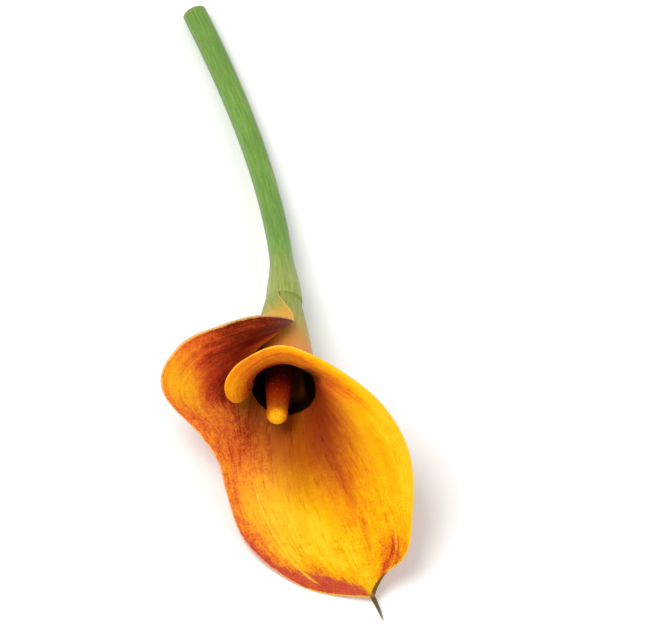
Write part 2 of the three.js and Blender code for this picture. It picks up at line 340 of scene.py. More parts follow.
def leaf_relief(turn, v):
    """How far the living surface stands off the smooth one, inwards: midrib, folds, pleats and waves."""
    t = limb_share(v)
    vein = vein_at(turn, v)
    on_limb = between(t, 0.05, 0.3, 0.85, 1.0)
    midrib = MIDRIB_HEIGHT * hill(vein, 0, 4) * on_limb
    fold = FOLD_HEIGHT * hill(beside_vein(FOLD_START, turn, v), 0, FOLD_HALF_WIDTH)
    crease = CREASE_HEIGHT * hill(beside_vein(CREASE_START, turn, v), 0, FOLD_HALF_WIDTH)
    folds = fold * between(v, 0.72, 0.8, 0.94, 0.97) + crease * between(v, 0.88, 0.93, 0.98, 1.0)
    valley = VALLEY_HEIGHT * hill(vein, VALLEY_VEIN, 6) * on_limb
    pleats = PLEAT_HEIGHT * noise.noise(Vector((vein / 6, v * 1.5, 3.0))) * on_limb
    waves = WAVE_HEIGHT * noise.noise(Vector((turn / 38, v * 2.2, 0.5))) * smooth(t, 0.35, 0.9)
    return midrib + folds + valley + pleats + waves


# ---------------------------------------------------------------- distances on the leaf
FAR = 6  # millimetres past which a distance on the leaf no longer matters
RIB_BOW = 1.06  # a rib's length against the straight line under it
COLLAR_ROLL = 1.7  # the same for the rolled collar, against the rest of the leaf
LINE_FADE = 60  # millimetres for each unit of v that a place lies past the end of a pale line
FOLD_LINE = (0.77, 0.955)  # the v at either end of the two pale lines
CREASE_LINE = (0.91, 0.992)
CREASE_LINE_FAINTER = 0.3  # added to the distance to the crease's line


def margin_distance(turn, v):
    """Millimetres to the leaf's edge, up the rib or round the axis, whichever is nearer."""
    reach, height, _, neck = rib_at(turn)
    rib = math.hypot(reach - THROAT_RADIUS, height - neck) * RIB_BOW
    upward = (1 - v) / (1 - NECK_SHARE) * rib
    around = math.radians(LAST_TURN - abs(turn)) * reach
    return min(upward * mix(1, COLLAR_ROLL, smooth(turn, 84, 116)), around, FAR)


def to_line(start, ends, turn, v):
    """Millimetres to the stretch of a vein between two places up the leaf."""
    past_end = max(0, ends[0] - v) + max(0, v - ends[1])
    return math.hypot(beside_vein(start, turn, v), LINE_FADE * past_end)


def line_distance(turn, v):
    """Millimetres to the pale line on the fold or on the crease, whichever is nearer."""
    fold = to_line(FOLD_START, FOLD_LINE, turn, v)
    crease = to_line(CREASE_START, CREASE_LINE, turn, v)
    return min(fold, crease + CREASE_LINE_FAINTER, FAR)


# ---------------------------------------------------------------- pigment of the spathe, and the light and shade painted on it
# A layer of colour is its strength times soft steps and hills round the leaf, in degrees of turn, and
# up it, in v.
def veiled(*layers):
    """Layers of colour that lie over each other, each 0 to 1."""
    bare = 1
    for layer in layers:
        bare *= 1 - layer
    return 1 - bare


def throat_flush(turn, v):
    """Orange brown round the throat, reaching further up the limb's right side."""
    ring = 0.56 * smooth(v, 0.78, 0.45) * smooth(turn, -118, -96)
    shoulder = 0.38 * between(turn, -10, 24, 92, 112) * smooth(v, 1.0, 0.64)
    # The streak along the valley vein is partly painted shade in the dip of the right side.
    streak = 0.26 * hill(vein_at(turn, v), VALLEY_VEIN, 3.5) * between(v, 0.54, 0.62, 0.8, 0.98)
    right = 0.1 * hill(turn, 20, 9) * smooth(v, 0.8, 0.9)
    return veiled(ring, shoulder, streak, right)


def left_flush(turn, v):
    """The orange red of the whole left side, thinner over the gold at the lobe's margin."""
    middle = -52 - 16 * smooth(v, 0.6, 0.9)
    side = 0.64 * smooth(turn, middle + 21, middle - 30) * smooth(v, 0.42, 0.66)
    side *= 1 - 0.22 * smooth(v, 0.78, 1.0)
    return side * (1 - 0.62 * hill(turn, -134, 13) * between(v, 0.72, 0.84, 0.9, 1.05))


def lobe_flush(turn, v):
    """The lobe: deep red within, and red along its top; low down behind the collar it is less red and
    lighter, which is painted light.
    """
    margin = 0.3 * hill(turn, -117, 13) * smooth(v, 0.86, 0.93)
    red_up_to = 0.7 + 0.11 * smooth(turn, -132, -158)
    red = 0.8 * smooth(turn, -112, -130) * smooth(v, red_up_to + 0.09, red_up_to - 0.06)
    # Painted light: the lobe is less red, and so lighter, low down behind the collar and in the strip below
    # its top.
    red *= 1 - 0.55 * smooth(v, 0.68, 0.58) * smooth(turn, -142, -156)
    red *= 1 - 0.8 * smooth(v, 0.72, 0.65) * smooth(turn, -166, -184)
    top = 0.58 * smooth(turn, -146, -168) + 0.38 * smooth(turn, -164, -180)
    return veiled(margin, red, top * smooth(v, 0.62, 0.76))


def collar_flush(turn, v):
    """The collar: orange, golden along the top of its rim and redder towards the mouth; the gold on top is
    partly a painted highlight and the red below partly painted shade.
    """
    gold = smooth(v, 0.89, 0.99) * (1 - 0.15 * smooth(turn, 92, 120) - 0.63 * smooth(turn, 132, 180))
    body = 0.5 * smooth(turn, 66, 98) * (1 - gold) * (1 - 0.25 * smooth(turn, 184, 212))
    foot = 0.34 * between(turn, 100, 124, 182, 212) * smooth(v, 0.74, 0.58)
    return veiled(body, foot)


def tip_flush(turn, v):
    """Red streaks beside the crease right of the tip, and the redder left margin over its band."""
    beside = beside_vein(CREASE_START, turn, v)
    streaks = (0.42 * hill(beside, 1.1, 0.75) + 0.6 * hill(beside, -1.8, 1.5)) * smooth(v, 0.9, 0.96)
    right = 0.3 * hill(turn, 15, 9) * smooth(v, 0.86, 0.96)
    left = 0.26 * between(turn, -90, -74, -50, -26) * smooth(v, 0.82, 0.95)
    left += 0.15 * hill(turn, -46, 16) * smooth(v, 0.66, 0.8)
    start = band_start(turn)
    over_band = 0.3 * between(turn, -74, -50, -6, 3) * smooth(v, start - 0.08, start)
    return veiled(streaks * smooth(turn, 34, 20), right, left, over_band)


def patches_at(turn, v):
    """Large soft patches, which make the edges of the flush uneven."""
    long_patches = noise.noise(Vector((vein_at(turn, v) / 9, v * 6, 9.0)))
    return 0.15 * long_patches * between(v, 0.64, 0.8, 0.9, 1.0)


FLUSHES = (throat_flush, left_flush, lobe_flush, collar_flush, tip_flush)
LEAST_FLUSH = 0.045


def flush_at(turn, v):
    """How much red lies over the gold of the leaf's inner face, 0 to 1."""
    layers = [flush(turn, v) for flush in FLUSHES]
    return max(veiled(LEAST_FLUSH, *layers) + patches_at(turn, v), 0)


def throat_shade(turn, v):
    """Painted shade towards the throat, with some of the throat's own browner colour; it reaches further up
    on the right and on the left.
    """
    right = 0.07 * between(turn, 2, 22, 70, 100)
    left = 0.06 * smooth(turn, -68, -88)
    throat = 0.5 * smooth(v - right - left, 0.78, 0.42)
    return throat * (1 - 0.75 * smooth(turn, -112, -134)) * (1 - 0.5 * smooth(turn, 184, 206))


def lobe_shade(turn, v):
    """Painted shade on the lobe, darker in two hollows, and painted shadow along its top, darkest where it
    goes behind the collar.
    """
    lobe = 0.16 * smooth(turn, -84, -104) * smooth(v, 1.0, 0.86) * (1 - 0.5 * smooth(turn, -118, -134))
    upper_hollow = 0.26 * hill(turn, -163, 9) * hill(v, 0.75, 0.05)
    lower_hollow = 0.3 * hill(turn, -127, 6) * hill(v, 0.61, 0.05)
    top = 0.42 * smooth(turn, -160, -182) * smooth(v, 0.65, 0.71)
    return veiled(lobe, upper_hollow + lower_hollow, top)


def collar_shade(turn, v):
    """Painted shade under the collar, and in the dark corner where it leaves the limb's right side."""
    under = 0.24 * smooth(turn, 84, 106) * smooth(v, 1.0, 0.84) * (1 - 0.6 * smooth(turn, 172, 206))
    edge = mouth_edge(turn)
    corner = 0.8 * between(turn, 82, 94, 116, 132) * smooth(v, edge + 0.18, edge + 0.05)
    return veiled(under, corner)


LEAST_SHADE = 0.04


def shade_at(turn, v):
    """How far the inner face darkens, 0 to 1: mostly towards the throat. It is painted shade, with some of
    the throat's own brown in it, and a slight darkening over all of the face.
    """
    return veiled(LEAST_SHADE, throat_shade(turn, v), lobe_shade(turn, v), collar_shade(turn, v))


LEAST_MOTTLE = 0.42


def mottle_at(turn, v):
    """How strongly the colours are mottled: most on the left side and in the gold of the lower limb."""
    left = 0.75 * between(turn, -136, -116, -58, -34)
    gold = between(turn, -70, -40, 24, 46) * smooth(v, 0.7, 0.84)
    lobe = 0.45 * smooth(turn, -116, -136) * smooth(v, 0.76, 0.88)
    return mix(LEAST_MOTTLE, 1, veiled(left, gold, lobe)) * (1 - 0.5 * smooth(v, 0.62, 0.46))


def band_start(turn):
    """How far up the leaf the red band along the lower left margin starts: it is widest left of the tip."""
    return 0.972 - 0.045 * hill(turn, -17, 14)


def band_at(turn, v):
    """The red band along the lower left margin: over a half inside it."""
    start = band_start(turn)
    return smooth(v, start - 0.04, start + 0.03) * between(turn, -74, -50, -4, 3)


def mouth_edge(turn):
    """How far up the leaf the dark mouth of the tube reaches: further behind the collar, where it is painted
    shade.
    """
    behind = 0.39 * smooth(turn, 78, 108) - 0.18 * smooth(turn, 112, 130)
    return 0.325 + behind - 0.1 * smooth(turn, 165, 205)


def mouth_at(turn, v):
    """How dark the mouth of the tube is, 0 to 1: partly the throat's own dark blotch and partly painted
    shade. Where the leaf's two edges overlap it stays light.
    """
    edge = mouth_edge(turn)
    dark = smooth(v, edge + 0.045, edge - 0.045) * smooth(margin_distance(turn, v), 0.6, 4)
    return dark * smooth(turn, -176, -152)


def painted_glow_at(turn, v):
    """Painted light: a lighter brown streak down the wall of the mouth, where light falls between the spadix
    and the right side.
    """
    return 0.85 * between(turn, -34, -16, 3, 13) * between(v, 0.12, 0.18, 0.25, 0.29)


def olive_at(turn, v):
    """The olive brown edge that runs from the claw up the right margin and thins to nothing there."""
    width = mix(1.35, 0.3, smooth(turn, 1, 10))
    near_edge = smooth(margin_distance(turn, v), width + 0.6, width - 0.4)
    return near_edge * between(turn, -1.5, 1, 8, 12)


def cream_at(turn, v):
    """How creamy the leaf's edge is: on the left side and the lobe; elsewhere it is golden."""
    return smooth(turn, -12, -50) * (1 - 0.5 * smooth(turn, -112, -140))


# What the leaf's materials read at each corner of its mesh: its pigment, and the light and shade painted on
# it.
PIGMENTS_AND_PAINTED_LIGHT = {
    "flush": flush_at,
    "shade": shade_at,
    "mottle": mottle_at,
    "band": band_at,
    "mouth": mouth_at,
    "painted_glow": painted_glow_at,
    "olive": olive_at,
    "cream": cream_at,
    "edge": margin_distance,
    "line": line_distance,
    "up": lambda turn, v: v,
}


# ---------------------------------------------------------------- modelling
def new_piece(name, mesh, *materials):
    """An object for a finished mesh, shaded smooth, that rides on the flower."""
    piece = bpy.data.objects.new(name, mesh)
    bpy.context.scene.collection.objects.link(piece)
    for material in materials:
        mesh.materials.append(material)
    for face in mesh.polygons:
        face.use_smooth = True
    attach(piece, "root")
    return piece


def grid_of(columns, rows):
    """A square mesh of that many steps, with its corners at 0, 0 and 1, 1."""
    bm = bmesh.new()
    bmesh.ops.create_grid(bm, x_segments=columns, y_segments=rows, size=0.5)
    bmesh.ops.translate(bm, verts=bm.verts, vec=(0.5, 0.5, 0))
    return bm


def finished_mesh(bm, name):
    mesh = bpy.data.meshes.new(name)
    bm.to_mesh(mesh)
    bm.free()
    return mesh


# ---------------------------------------------------------------- the spathe
LEAF_THICKNESS = 0.7
MARGIN_THICKNESS_SHARE = 0.5
THINNING_WIDTH = 5  # from the margin inwards
EDGE_ROUND = 0.1
EDGE_ANGLE = 50
LAST_ROW = 0.999  # the sheet's own edge, which on the shortened ribs of the lip isn't at v = 1
VEIN_MAP_WIDTH = 360  # numbers of veins, and millimetres from the tip, to 1 on the map
VEIN_MAP_LENGTH = 100


def sheet_place(x, y):
    """The turn and the v of a corner of the square sheet: they crowd at the tip and the margin."""
    share = 2 * x - 1
    turn = LAST_TURN * (share - COLUMN_CROWDING * math.sin(2 * math.pi * share) / (2 * math.pi))
    return turn, rounded_share(turn, y + ROW_CROWDING * y * (1 - y))


def leaf_mesh():
    """The rolled leaf, from a square sheet, with what its materials need kept at each corner."""
    tip = leaf_point(0, 1)
    bm = grid_of(SPATHE_COLUMNS, SPATHE_ROWS)
    layers = {name: bm.verts.layers.float.new(name) for name in PIGMENTS_AND_PAINTED_LIGHT}
    vein_map = bm.loops.layers.uv.new("veins")
    weights = bm.verts.layers.deform.new()
    veins = {}
    for vert in bm.verts:
        turn, v = sheet_place(vert.co.x, vert.co.y)
        for name, painting in PIGMENTS_AND_PAINTED_LIGHT.items():
            vert[layers[name]] = painting(turn, v)
        if vert.co.y > LAST_ROW:
            vert[layers["edge"]] = 0
        thickness = smooth(vert[layers["edge"]], 0, THINNING_WIDTH)
        vert[weights][0] = mix(MARGIN_THICKNESS_SHARE, 1, thickness)
        place = leaf_point(turn, v)
        from_tip = (place - tip).length / VEIN_MAP_LENGTH
        veins[vert.index] = (vein_at(turn, v) / VEIN_MAP_WIDTH + 0.5, from_tip)
        vert.co = laid_down(SPUN @ (place - leaf_normal(turn, v) * leaf_relief(turn, v)))
    for face in bm.faces:
        for loop in face.loops:
            loop[vein_map].uv = veins[loop.vert.index]
    bmesh.ops.reverse_faces(bm, faces=bm.faces)
    return finished_mesh(bm, "spathe_leaf")


def give_wall(spathe):
    """The leaf's thickness, which its corners' weights thin towards the margin, and its round edge."""
    spathe.vertex_groups.new(name="thickness")
    wall = spathe.modifiers.new("wall", "SOLIDIFY")
    wall.thickness = LEAF_THICKNESS * MM
    wall.offset = 0
    wall.vertex_group = "thickness"
    wall.material_offset = 1
    edge_round = spathe.modifiers.new("edge_round", "BEVEL")
    edge_round.limit_method = "ANGLE"
    edge_round.angle_limit = math.radians(EDGE_ANGLE)
    edge_round.width = EDGE_ROUND * MM
    edge_round.segments = 2


def make_spathe(inner_material, outer_material):
    """The leaf, with one material on its inner face and one on its outer face."""
    spathe = new_piece("spathe_leaf", leaf_mesh(), inner_material, outer_material)
    give_wall(spathe)
    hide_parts("spathe")


# ---------------------------------------------------------------- the claw, the spadix and the stem
def rod_mesh(name, sides, rows, place_of):
    """A closed rod from a square sheet: place_of gives the place for a share round and a share along."""
    bm = grid_of(sides, rows)
    along = bm.verts.layers.float.new("along")
    top = bm.verts.layers.float.new("top")
    side = bm.verts.layers.float.new("side")
    for vert in bm.verts:
        vert[along] = vert.co.y
        vert[top] = math.cos(2 * math.pi * vert.co.x)
        vert[side] = math.sin(2 * math.pi * vert.co.x)
        vert.co = place_of(vert.co.x, vert.co.y)
    bmesh.ops.remove_doubles(bm, verts=bm.verts, dist=1e-6)
    bmesh.ops.holes_fill(bm, edges=bm.edges, sides=0)
    bmesh.ops.recalc_face_normals(bm, faces=bm.faces)
    return finished_mesh(bm, name)


def ring_frame(direction):
    """Two directions square to a path."""
    across = Vector((1, 0, 0)).cross(direction).normalized()
    return across, direction.cross(across).normalized()


def rib_heading(angle):
    """The direction of the tip's rib at an angle to the bloom's axis."""
    return Vector((0, -math.sin(math.radians(angle)), math.cos(math.radians(angle))))


def claw_path():
    """The claw's middle line, from inside the leaf's tip, and its direction at each row."""
    reach, height, flare, _ = rib_at(0)
    tip = Vector((0, -(reach + TIP_REACH), height + TIP_RISE))
    places = [tip - rib_heading(flare) * CLAW_ROOT]
    headings = []
    for row in range(CLAW_ROWS + 1):
        headings.append(rib_heading(flare - CLAW_CURL * row / CLAW_ROWS))
        places.append(places[-1] + headings[-1] * (CLAW_ROOT + CLAW_LENGTH) / CLAW_ROWS)
    return places, headings


def claw_radius(along):
    """The claw swells out of the leaf, then thins to a round point."""
    leaf_part = CLAW_ROOT / (CLAW_ROOT + CLAW_LENGTH)
    if along < leaf_part:
        return CLAW_RADIUS * math.sin(math.pi / 2 * along / leaf_part) ** CLAW_SWELL
    thin = (along - leaf_part) / (1 - leaf_part)
    return mix(CLAW_RADIUS, CLAW_END_RADIUS, thin**CLAW_SWELL) * math.sqrt(1 - thin**CLAW_POINT)


def make_claw(material):
    """The hooked tip, in which the leaf's two margins roll together and leave a groove."""
    places, headings = claw_path()

    def place_of(around, along):
        row = round(along * CLAW_ROWS)
        across, side = ring_frame(headings[row])
        angle = 2 * math.pi * around
        near_groove = hill(math.cos(angle), 1, GROOVE_HALF_WIDTH) * between(along, 0.15, 0.4, 0.8, 1.0)
        flat = mix(CLAW_ROOT_FLAT, CLAW_FLAT, smooth(along, 0.2, 0.6))
        reach = across * flat * math.cos(angle) + side * math.sin(angle)
        reach *= claw_radius(along) * (1 - GROOVE_DEPTH * near_groove)
        return laid_down(SPUN @ (places[row] + reach))

    mesh = rod_mesh("spathe_claw", CLAW_SIDES, CLAW_ROWS, place_of)
    claw = new_piece("spathe_claw", mesh, material)
    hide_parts("spathe")


def scattered_florets():
    """How far each floret stands from its even place, across and along, and its size."""
    random.seed(7)

    def stray():
        return random.uniform(-FLORET_JITTER, FLORET_JITTER)

    return {
        (ring, column): (stray(), stray(), random.uniform(*FLORET_SIZES))
        for ring in range(FLORET_RINGS + 2)
        for column in range(FLORETS_ROUND)
    }


def floret_height(around, along, florets):
    """Height of the grain at a place: round caps that stand in rings, each ring between the last one's."""
    best = 0
    ring_place = along * FLORET_RINGS
    for ring in (math.floor(ring_place), math.floor(ring_place) + 1):
        shift = 0.5 * (ring % 2)
        column = round(around * FLORETS_ROUND - shift)
        stray_across, stray_along, size = florets[ring, column % FLORETS_ROUND]
        across = around * FLORETS_ROUND - shift - column - stray_across
        up = ring_place - ring - stray_along
        away = math.hypot(across, up) / (FLORET_SPREAD * size)
        best = max(best, math.sqrt(max(0, 1 - away * away)) * size)
    return best


def spadix_end(along):
    """1 along the spadix and a quarter circle to 0 at its round end."""
    round_share = SPADIX_END_RADIUS / SPADIX_LENGTH
    past = max(0, (along - 1 + round_share) / round_share)
    return math.sqrt(max(0, 1 - past * past))


def make_spadix(material):
    """The spadix, covered with grains of pollen florets."""
    florets = scattered_florets()
    lean = turned("X", SPADIX_LEAN) @ turned("Y", -SPADIX_SIDE_LEAN)
    foot = Vector((0, 0, SPADIX_CLEARANCE - FOOT_DEPTH))

    def place_of(around, along):
        end = spadix_end(along)
        radius = table_at(SPADIX_PROFILE, along)[0] * end
        grain = floret_height(around, along, florets) * FLORET_HEIGHT * smooth(end, 0, 0.5)
        reach = max(radius - FLORET_HEIGHT * 0.5, 0) + grain if end > 0 else 0
        angle = 2 * math.pi * around
        point = Vector((reach * math.cos(angle), reach * math.sin(angle), along * SPADIX_LENGTH))
        return laid_down(lean @ point + foot)

    mesh = rod_mesh("spadix_florets", SPADIX_SIDES, SPADIX_ROWS, place_of)
    spadix = new_piece("spadix_florets", mesh, material)
    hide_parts("spadix")


def even_shares(control, steps):
    """The places on a cubic curve that cut it into so many pieces of equal length."""
    fine = 2000
    lengths = [0]
    last = control[0]
    for i in range(fine):
        here = bezier(control, (i + 1) / fine)
        lengths.append(lengths[-1] + (here - last).length)
        last = here
    shares = []
    i = 0
    for step in range(steps + 1):
        wanted = lengths[-1] * step / steps
        while i < fine - 1 and lengths[i + 1] < wanted:
            i += 1
        shares.append((i + (wanted - lengths[i]) / (lengths[i + 1] - lengths[i])) / fine)
    return shares


def stem_control():
    """The four control points of the stem's curve, from under the bloom to the cut."""
    direction = LAID @ Vector((0, 0, -1))
    foot = LAID @ Vector((0, 0, -FOOT_DEPTH)) + THROAT_AT
    tail_angle = math.radians(STEM_TAIL_ANGLE)
    tail = Vector((-math.sin(tail_angle), math.cos(tail_angle), 0))
    reach = math.sqrt(STEM_SPAN**2 - STEM_SWING**2)
    cut = Vector((foot.x + STEM_SWING, foot.y + reach, STEM_CUT_RADIUS))
    return foot, foot + direction * STEM_NECK, cut - tail * STEM_TAIL, cut


def stem_heading(control, share):
    """The stem's direction at a place on its curve."""
    step = 0.002
    ahead = bezier(control, min(share + step, 1))
    return (ahead - bezier(control, max(share - step, 0))).normalized()


def stem_radius(length, angle):
    """The stem's radius: flared under the bloom, faintly ridged, and a little wider at the cut."""
    rod = mix(STEM_RADIUS, STEM_CUT_RADIUS, smooth(length, STEM_TAPER_FROM, 1))
    radius = mix(STEM_TOP_RADIUS, rod, smooth(length, 0, STEM_FLARE_SHARE))
    ridges = math.cos(STEM_RIDGES * angle + RIDGE_TWIST * length)
    return radius + RIDGE_HEIGHT * ridges * smooth(length, 0, 0.1)


def make_stem(skin_material, cut_material):
    """The stem, from under the bloom down to the table and along it to the dished cut."""
    control = stem_control()
    skin_rows = STEM_ROWS - CUT_ROWS
    shares = even_shares(control, skin_rows)

    def place_of(around, along):
        row = round(along * STEM_ROWS)
        share = shares[min(row, skin_rows)]
        heading = stem_heading(control, share)
        across, side = ring_frame(heading)
        angle = 2 * math.pi * around
        inwards = max(row - skin_rows, 0) / CUT_ROWS
        reach = stem_radius(min(row / skin_rows, 1), angle) * (1 - inwards)
        rim = (across * math.cos(angle) + side * math.sin(angle)) * reach
        dish = heading * CUT_DISH * smooth(inwards, 0, 0.8)
        return (bezier(control, share) + rim - dish) * MM

    mesh = rod_mesh("stem_stalk", STEM_SIDES, STEM_ROWS, place_of)
    stem = new_piece("stem_stalk", mesh, skin_material, cut_material)
    along = mesh.attributes["along"].data
    for face in mesh.polygons:
        if min(along[i].value for i in face.vertices) > (skin_rows - 0.5) / STEM_ROWS:
            face.material_index = 1
    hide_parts("stem")


# ---------------------------------------------------------------- making materials
def colour(code):
    """A linear colour from a sRGB code such as ffb706."""
    parts = [int(code[i : i + 2], 16) / 255 for i in (0, 2, 4)]
    return tuple(p / 12.92 if p <= 0.04045 else ((p + 0.055) / 1.055) ** 2.4 for p in parts) + (1,)


class Nodes:
    """A material's nodes, added and joined in one call each. A colour may be given by its code."""

    def __init__(self, tree):
        self.tree = tree

    def add(self, kind, _output=0, _props=None, **inputs):
        """Adds a node. An input goes by its name, or by i and its number, and joins or sets a socket."""
        node = self.tree.nodes.new(kind)
        for key, value in (_props or {}).items():
            setattr(node, key, value)
        for key, value in inputs.items():
            socket = node.inputs[int(key[1:])] if key[1:].isdigit() else node.inputs[key]
            if isinstance(value, bpy.types.NodeSocket):
                self.tree.links.new(value, socket)
            else:
                socket.default_value = colour(value) if isinstance(value, str) else value
        return node.outputs[_output]

    def attribute(self, name):
        return self.add("ShaderNodeAttribute", 2, {"attribute_name": name})

    def object_place(self):
        return self.add("ShaderNodeTexCoord", 3)

    def maths(self, operation, a, b=0.0, clamp=False):
        return self.add("ShaderNodeMath", _props={"operation": operation, "use_clamp": clamp}, i0=a, i1=b)

    def plus(self, a, b, share=None, clamp=False):
        """a with b or a share of b added."""
        if share is None:
            return self.maths("ADD", a, b, clamp)
        return self.maths("ADD", a, self.maths("MULTIPLY", b, share), clamp)

    def centred(self, value, height):
        """A pattern round 0 instead of round a half."""
        return self.maths("MULTIPLY", self.maths("SUBTRACT", value, 0.5), height)

    def span(self, value, low, high, to_low=0.0, to_high=1.0):
        """A soft step from one value to another."""
        sockets = {"Value": value, "From Min": low, "From Max": high, "To Min": to_low, "To Max": to_high}
        return self.add("ShaderNodeMapRange", _props={"interpolation_type": "SMOOTHSTEP"}, **sockets)

    def blend(self, factor, a, b):
        """From colour a to colour b."""
        props = {"data_type": "RGBA", "blend_type": "MIX", "clamp_factor": True}
        return self.add("ShaderNodeMix", 2, props, i0=factor, i6=a, i7=b)

    def ramp(self, factor, stops):
        node = self.tree.nodes.new("ShaderNodeValToRGB")
        elements = node.color_ramp.elements
        while len(elements) < len(stops):
            elements.new(0.5)
        for element, (place, code) in zip(elements, stops):
            element.position = place
            element.color = colour(code)
        self.tree.links.new(factor, node.inputs[0])
        return node.outputs[0]

    def noise(self, vector, scale, detail, roughness, dimensions="3D"):
        """Noise, with scale patterns to a metre or to 1 on a map."""
        props = {"noise_dimensions": dimensions}
        shape = {"Scale": scale, "Detail": detail, "Roughness": roughness}
        return self.add("ShaderNodeTexNoise", 0, props, Vector=vector, **shape)

    def vein_noise(self, veins, stretch, detail, roughness):
        """Noise on the vein map, so many times finer across the veins and along them."""
        props = {"vector_type": "POINT"}
        place = self.add("ShaderNodeMapping", _props=props, Vector=veins, Scale=(*stretch, 1))
        return self.noise(place, 1.0, detail, roughness, "2D")

    def cells(self, vector, scale):
        return self.add("ShaderNodeTexVoronoi", _props={"feature": "F1"}, Vector=vector, Scale=scale)

    def bump(self, height, depth, strength=0.4):
        """A normal for a grain of that depth in millimetres."""
        return self.add("ShaderNodeBump", Strength=strength, Distance=depth * MM, Height=height)

    def principled(self, base, roughness, specular=0.5, tint="ffffff", **normal):
        gloss = {"Roughness": roughness, "Specular IOR Level": specular, "Specular Tint": tint}
        return self.add("ShaderNodeBsdfPrincipled", **{"Base Color": base}, **gloss, **normal)

    def see_through(self, shader, base, share):
        """Lets a share of the light through a thin leaf."""
        through = self.add("ShaderNodeBsdfTranslucent", Color=base)
        return self.add("ShaderNodeMixShader", i0=share, i1=shader, i2=through)


def new_material(name):
    material = bpy.data.materials.new(name)
    material.use_nodes = True
    material.node_tree.nodes.clear()
    return material, Nodes(material.node_tree)


def finish_material(nodes, shader):
    output = nodes.tree.nodes.new("ShaderNodeOutputMaterial")
    nodes.tree.links.new(shader, output.inputs["Surface"])


# ---------------------------------------------------------------- the leaf's materials
FLUSH_STOPS = [
    (0.0, "ffcf25"),
    (0.15, "fdb90a"),
    (0.35, "f79b10"),
    (0.55, "ea7516"),
    (0.75, "d2501e"),
    (0.9, "b0331a"),
    (1.0, "8c1f10"),
]
BAND_STOPS = [(0.3, "da5c3a"), (0.55, "ca4636"), (0.8, "b43a34")]
BACK_STOPS = [(0.0, "f6b938"), (0.3, "f09a3c"), (0.6, "e06a3c"), (1.0, "b8352c")]
WARM_GLOSS = "ffb83c"
LEAF_BUMP = 0.12

# How many times finer the leaf's grain is across the veins of its map, and along them.
STREAKS = (150, 9)
PATCHES = (85, 22)
VEIN_LINES = (34, 2.2)
LINE_BREAKS = (120, 16)

LEAF_GRAIN_SOCKETS = [
    ("Veins", "INPUT", "NodeSocketVector"),
    ("Place", "INPUT", "NodeSocketVector"),
    ("Wander", "OUTPUT", "NodeSocketFloat"),
    ("Lines", "OUTPUT", "NodeSocketFloat"),
    ("Height", "OUTPUT", "NodeSocketFloat"),
]


def leaf_grain():
    """The grain of both faces of the leaf, as a group: streaks, blotches and broken vein lines."""
    tree = bpy.data.node_groups.new("leaf_grain", "ShaderNodeTree")
    for name, way, kind in LEAF_GRAIN_SOCKETS:
        tree.interface.new_socket(name, in_out=way, socket_type=kind)
    n = Nodes(tree)
    source = tree.nodes.new("NodeGroupInput")
    veins, place = source.outputs["Veins"], source.outputs["Place"]
    streaks = n.vein_noise(veins, STREAKS, 4.0, 0.6)
    patches = n.vein_noise(veins, PATCHES, 5.0, 0.7)
    blotches = n.noise(place, 330, 4.0, 0.7)
    specks = n.noise(place, 1700, 2.0, 0.7)
    wander = n.plus(n.centred(streaks, 0.4), n.centred(patches, 0.6))
    wander = n.plus(wander, n.centred(blotches, 0.75))
    wander = n.plus(wander, n.centred(specks, 0.8))
    contour = n.maths("ABSOLUTE", n.centred(n.vein_noise(veins, VEIN_LINES, 3.0, 0.45), 1.0))
    broken = n.span(n.vein_noise(veins, LINE_BREAKS, 2.0, 0.5), 0.42, 0.56)
    lines = n.maths("MULTIPLY", n.span(contour, 0.03, 0.008), broken)
    height = n.plus(n.maths("MULTIPLY", streaks, 0.7), specks, 0.3)
    sink = tree.nodes.new("NodeGroupOutput")
    for name, value in (("Wander", wander), ("Lines", lines), ("Height", height)):
        tree.links.new(value, sink.inputs[name])
    return tree


def add_leaf_grain(n, grain):
    """Places the leaf's grain in a material: it gives the colours' wander, the vein lines and the height."""
    node = n.tree.nodes.new("ShaderNodeGroup")
    node.node_tree = grain
    n.tree.links.new(n.add("ShaderNodeUVMap", _props={"uv_map": "veins"}), node.inputs["Veins"])
    n.tree.links.new(n.object_place(), node.inputs["Place"])
    return node.outputs["Wander"], node.outputs["Lines"], node.outputs["Height"]


def flushed_gold(n, wander, lines):
    """The inner face's gold under its red flush, a little pinker on the left side."""
    flush = n.attribute("flush")
    strength = n.span(flush, 0.05, 0.4, 0.55, 1.0)
    amount = n.plus(n.plus(flush, wander, strength), lines, 0.11, clamp=True)
    pink = n.maths("MULTIPLY", n.attribute("cream"), n.span(amount, 0.85, 0.5, 0.0, 0.06))
    return n.blend(pink, n.ramp(amount, FLUSH_STOPS), "ffb090")


def darkened(n, base, wander, lines):
    """The inner face's red band, its painted shade, and the mouth, dark of itself and with painted shade,
    with a streak of painted light down its wall.
    """
    band = n.span(n.plus(n.attribute("band"), wander, 0.6), 0.2, 0.85, 0.0, 0.95)
    base = n.blend(band, base, n.ramp(n.plus(wander, 0.5), BAND_STOPS))
    # Painted shade: the face darkens towards a near black brown.
    shade = n.plus(n.plus(n.attribute("shade"), wander, 0.14), lines, 0.06)
    base = n.blend(shade, base, "1c0500")
    # The mouth is partly the throat's own dark blotch and partly painted shade; the lighter streak in it is
    # painted light.
    mouth = n.span(n.plus(n.attribute("mouth"), wander, 0.8), 0.4, 0.6)
    return n.blend(mouth, base, n.blend(n.attribute("painted_glow"), "140402", "7a4016"))


